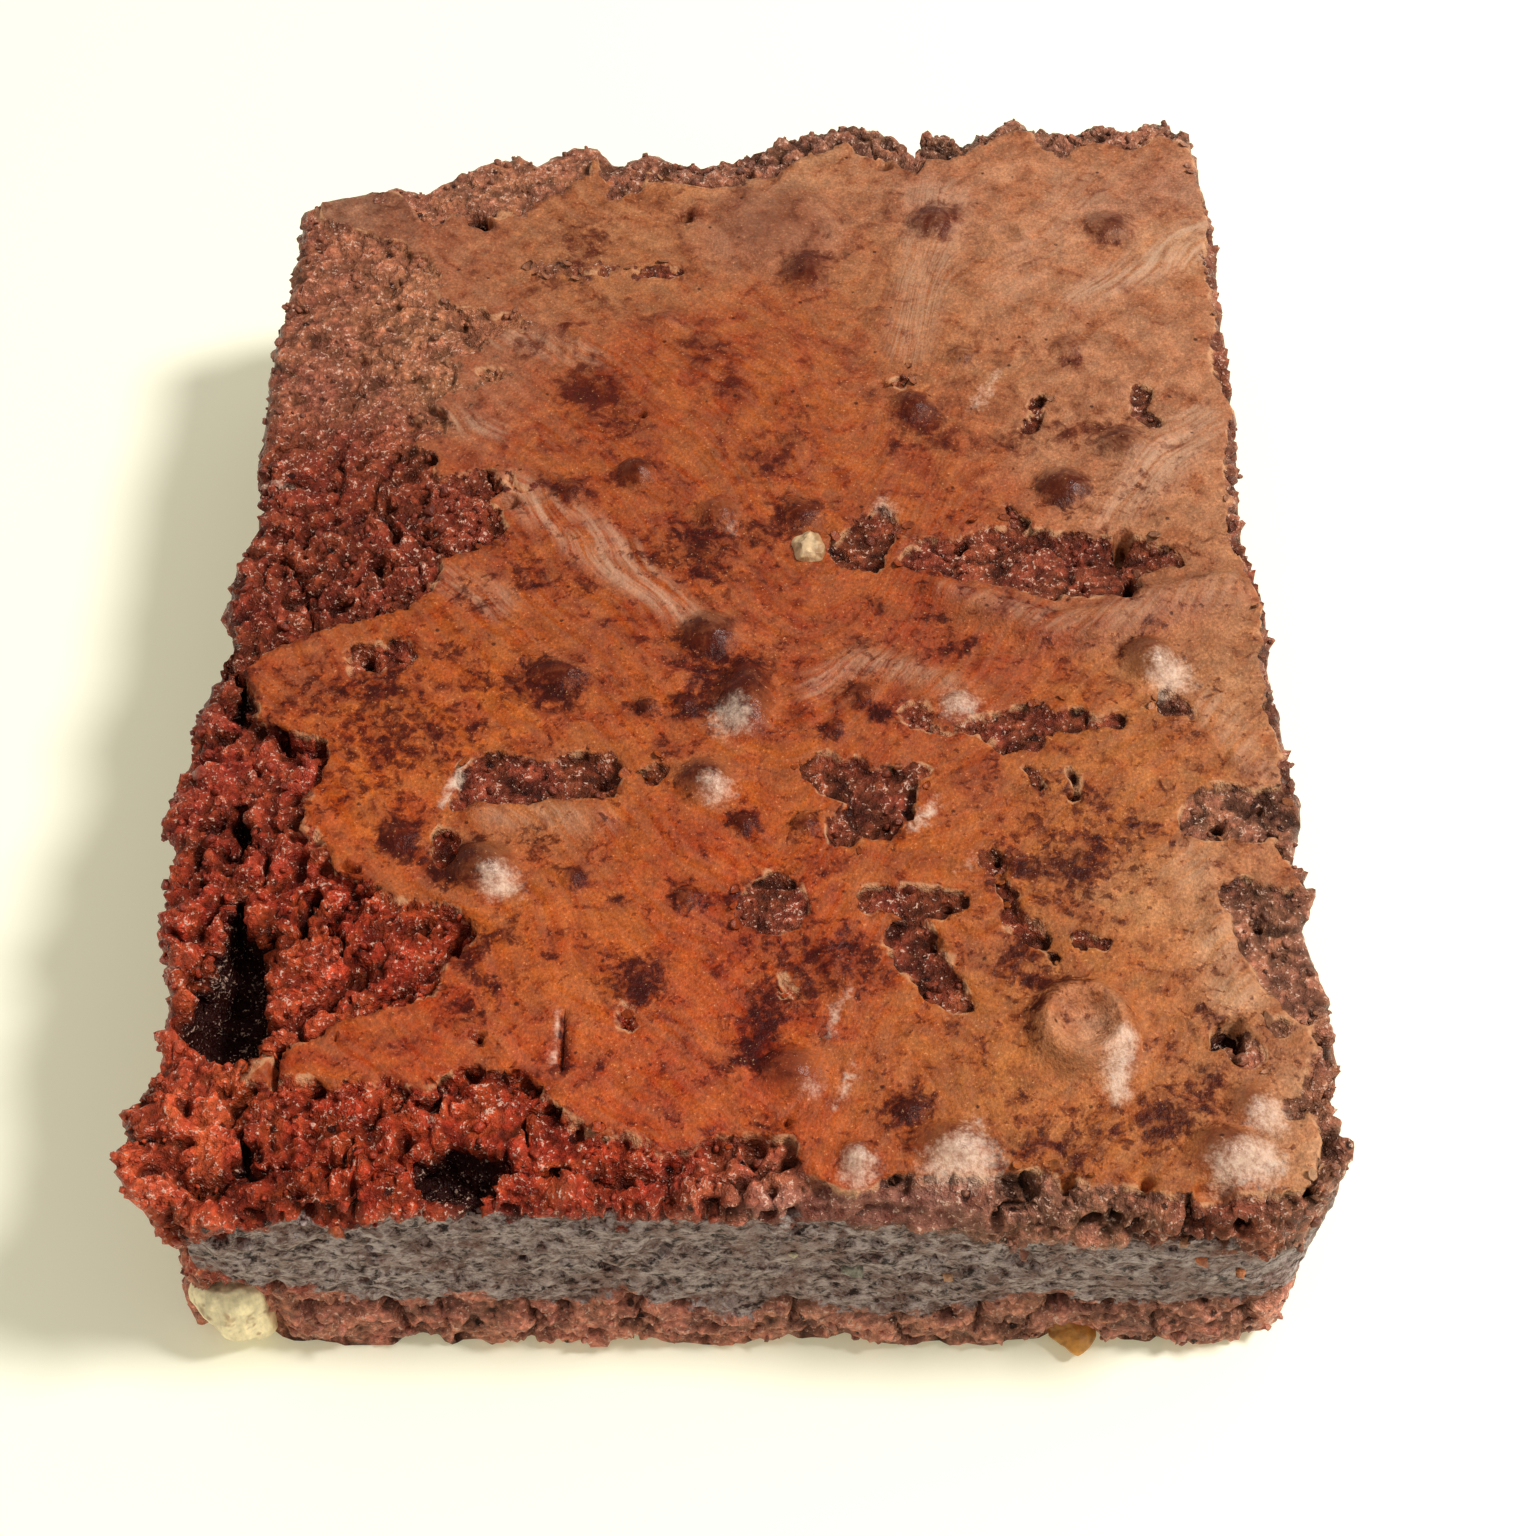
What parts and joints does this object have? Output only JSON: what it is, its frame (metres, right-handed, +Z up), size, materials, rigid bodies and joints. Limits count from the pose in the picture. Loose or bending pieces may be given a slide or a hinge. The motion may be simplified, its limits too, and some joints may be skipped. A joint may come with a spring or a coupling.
{
  "type": "chocolate brownie",
  "caption": "Hand-cut slab of chocolate brownie with a papery blistered top, torn crumb edges and chips of walnut.",
  "frame": {"origin": "middle of the flat underside, on the surface the slab lies on", "axes": "+X across the slab to the right, +Y from the near cut face to the far edge, +Z up"},
  "size_m": [0.074, 0.0987, 0.021],
  "materials": {
    "brownie": "baked chocolate crumb with a thin semi-matte orange-brown skin",
    "walnut": "broken pale walnut"
  },
  "bodies": {
    "root": {"brownie": "brownie", "walnut_corner": "walnut", "walnut_foot": "walnut", "walnut_top": "walnut"}
  },
  "joints": []
}
